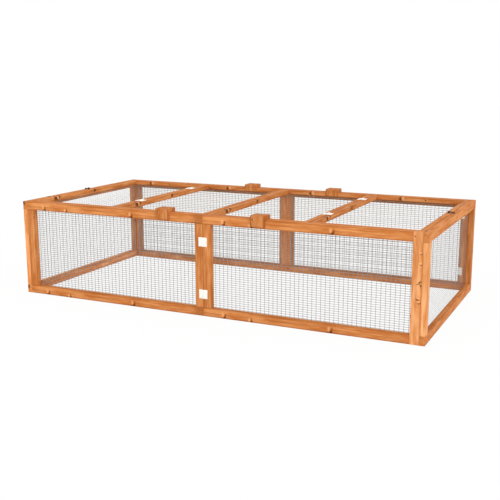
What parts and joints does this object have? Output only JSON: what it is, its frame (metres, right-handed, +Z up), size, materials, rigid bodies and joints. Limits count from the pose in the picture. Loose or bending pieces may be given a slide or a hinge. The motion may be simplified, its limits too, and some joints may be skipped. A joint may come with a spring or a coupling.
{
  "type": "outdoor rabbit run",
  "caption": "Low rectangular timber-framed pen with wire mesh walls, an open bottom and an inset roof of hinged wire lids, for keeping rabbits on grass.",
  "frame": {"origin": "on the ground, at the middle of the pen's footprint", "axes": "+X along the length towards the right as seen from the front, -Y the front, +Z up"},
  "size_m": [2.44, 1.206, 0.581],
  "materials": {
    "timber": "stained softwood, satin",
    "wire": "galvanised welded wire",
    "hinge": "bright white zinc",
    "hook": "black japanned wire"
  },
  "bodies": {
    "pen_walls": {"front_left_top_rail": "timber", "front_left_bottom_rail": "timber", "front_left_left_stile": "timber", "front_left_right_stile": "timber", "front_left_wire": "wire", "front_right_top_rail": "timber", "front_right_bottom_rail": "timber", "front_right_left_stile": "timber", "front_right_right_stile": "timber", "front_right_wire": "wire", "back_left_top_rail": "timber", "back_left_bottom_rail": "timber", "back_left_left_stile": "timber", "back_left_right_stile": "timber", "back_left_wire": "wire", "back_right_top_rail": "timber", "back_right_bottom_rail": "timber", "back_right_left_stile": "timber", "back_right_right_stile": "timber", "back_right_wire": "wire", "left_end_top_rail": "timber", "left_end_bottom_rail": "timber", "left_end_front_stile": "timber", "left_end_back_stile": "timber", "left_end_wire": "wire", "right_end_top_rail": "timber", "right_end_bottom_rail": "timber", "right_end_front_stile": "timber", "right_end_back_stile": "timber", "right_end_wire": "wire"},
    "left_middle_lid": {"left_middle_lid_left_bar": "timber", "left_middle_lid_right_bar": "timber", "left_middle_lid_front_rail": "timber", "left_middle_lid_back_rail": "timber", "left_middle_lid_wire": "wire", "left_middle_lid_hinge_leaf_front": "hinge", "left_middle_lid_hinge_leaf_back": "hinge"},
    "left_end_lid": {"left_end_lid_left_bar": "timber", "left_end_lid_right_bar": "timber", "left_end_lid_front_rail": "timber", "left_end_lid_back_rail": "timber", "left_end_lid_wire": "wire", "left_end_lid_hinge_leaf_front": "hinge", "left_end_lid_hinge_leaf_back": "hinge"},
    "right_middle_lid": {"right_middle_lid_left_bar": "timber", "right_middle_lid_right_bar": "timber", "right_middle_lid_front_rail": "timber", "right_middle_lid_back_rail": "timber", "right_middle_lid_wire": "wire", "right_middle_lid_hinge_leaf_front": "hinge", "right_middle_lid_hinge_leaf_back": "hinge"},
    "right_end_lid": {"right_end_lid_left_bar": "timber", "right_end_lid_right_bar": "timber", "right_end_lid_front_rail": "timber", "right_end_lid_back_rail": "timber", "right_end_lid_wire": "wire", "right_end_lid_hinge_leaf_front": "hinge", "right_end_lid_hinge_leaf_back": "hinge"},
    "left_hook": {"left_hook": "hook"},
    "right_hook": {"right_hook": "hook"}
  },
  "joints": [
    {"name": "left_lid_pair_lift", "type": "slide", "parent": "pen_walls", "child": "left_middle_lid", "axis": [0, 0, 1], "range_m": [0, 0.08]},
    {"name": "right_lid_pair_lift", "type": "slide", "parent": "pen_walls", "child": "right_middle_lid", "axis": [0, 0, 1], "range_m": [0, 0.08]},
    {"name": "left_end_lid_hinge", "type": "hinge", "parent": "left_middle_lid", "child": "left_end_lid", "pos_m": [-0.59462, 0, 0.5633], "axis": [0, 1, 0], "range_deg": [0, 175]},
    {"name": "right_end_lid_hinge", "type": "hinge", "parent": "right_middle_lid", "child": "right_end_lid", "pos_m": [0.59462, 0, 0.5633], "axis": [0, -1, 0], "range_deg": [0, 175]},
    {"name": "left_hook_pivot", "type": "hinge", "parent": "left_end_lid", "child": "left_hook", "pos_m": [-1.178, 0.004, 0.568], "axis": [0, 1, 0], "range_deg": [0, 150]},
    {"name": "right_hook_pivot", "type": "hinge", "parent": "right_end_lid", "child": "right_hook", "pos_m": [1.178, 0.024, 0.568], "axis": [0, -1, 0], "range_deg": [0, 150]}
  ]
}
